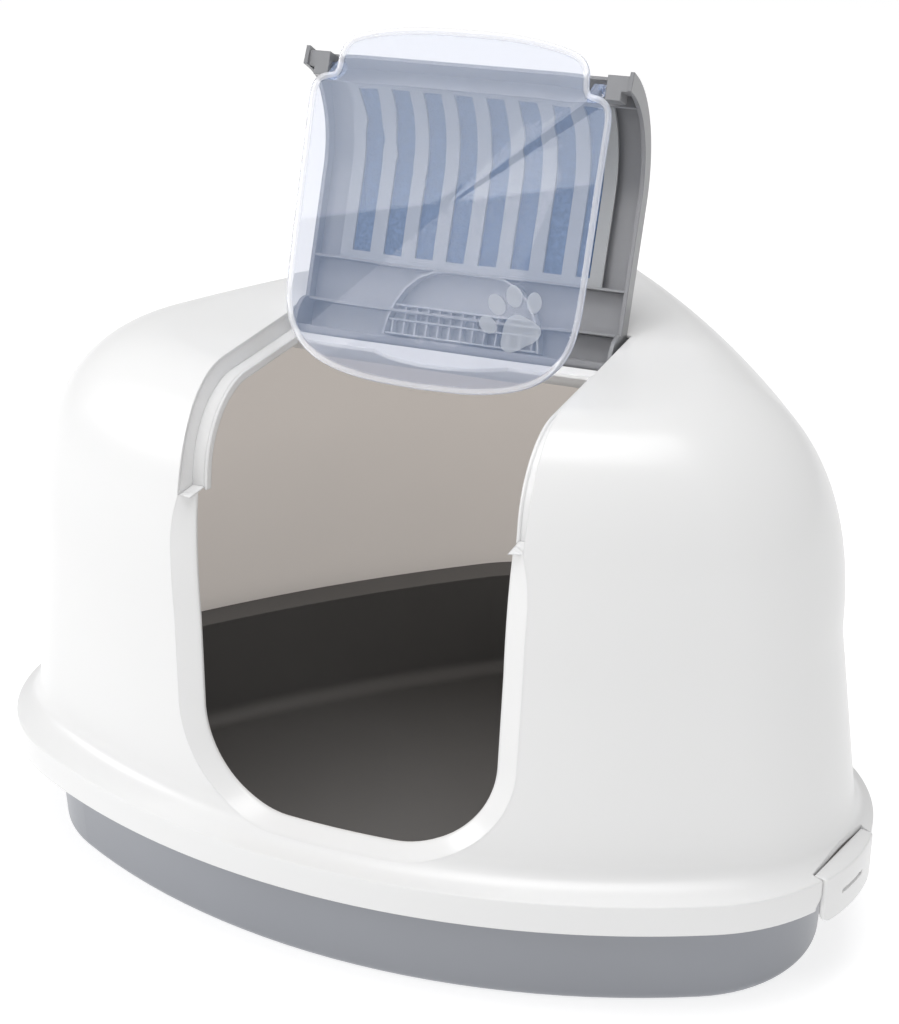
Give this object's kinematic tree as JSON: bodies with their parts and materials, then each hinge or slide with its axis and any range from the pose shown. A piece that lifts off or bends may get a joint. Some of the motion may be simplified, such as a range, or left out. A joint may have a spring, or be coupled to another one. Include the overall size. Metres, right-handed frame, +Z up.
{
  "type": "corner cat litter box with hood",
  "caption": "Corner litter box: dark tray, lift-off domed white hood with a doorway, tilting grey visor with filter, clear swing flap and rim clips.",
  "frame": {"origin": "middle of the rim's bounding rectangle, on the floor", "axes": "+X to the right seen from the front, +Y towards the back corner, +Z up; the doorway faces -Y"},
  "size_m": [0.5856, 0.4549, 0.5363],
  "materials": {
    "white_plastic": "glossy white polypropylene",
    "grey_plastic": "satin grey polypropylene",
    "visor_plastic": "satin grey polypropylene",
    "grille_plastic": "fine matt light grey",
    "filter_foam": "dark carbon filter fleece",
    "clear_plastic": "clear plastic with a faint blue tint"
  },
  "bodies": {
    "base": {"tray": "grey_plastic"},
    "hood": {"hood": "white_plastic"},
    "visor": {"visor": "visor_plastic", "filter_pad": "filter_foam", "filter_grille": "grille_plastic"},
    "flap": {"flap": "clear_plastic"},
    "clip_left": {"clip_left": "white_plastic"},
    "clip_right": {"clip_right": "white_plastic"}
  },
  "joints": [
    {"name": "hood_lift", "type": "slide", "parent": "base", "child": "hood", "axis": [0, 0, 1], "range_m": [0, 0.12]},
    {"name": "visor_hinge", "type": "hinge", "parent": "hood", "child": "visor", "pos_m": [0, -0.0115, 0.347], "axis": [1, 0, 0], "range_deg": [0, 112]},
    {"name": "flap_swing", "type": "hinge", "parent": "visor", "child": "flap", "pos_m": [0, 0.00354, 0.50702], "axis": [1, 0, 0], "range_deg": [-106, 0]},
    {"name": "clip_right", "type": "hinge", "parent": "hood", "child": "clip_right", "pos_m": [0.2797, -0.0934, 0.0873], "axis": [-0.2419, -0.9703, 0], "range_deg": [0, 75]},
    {"name": "clip_left", "type": "hinge", "parent": "hood", "child": "clip_left", "pos_m": [-0.2554, 0.0069, 0.0873], "axis": [0.6225, 0.7826, 0], "range_deg": [0, 75]}
  ]
}
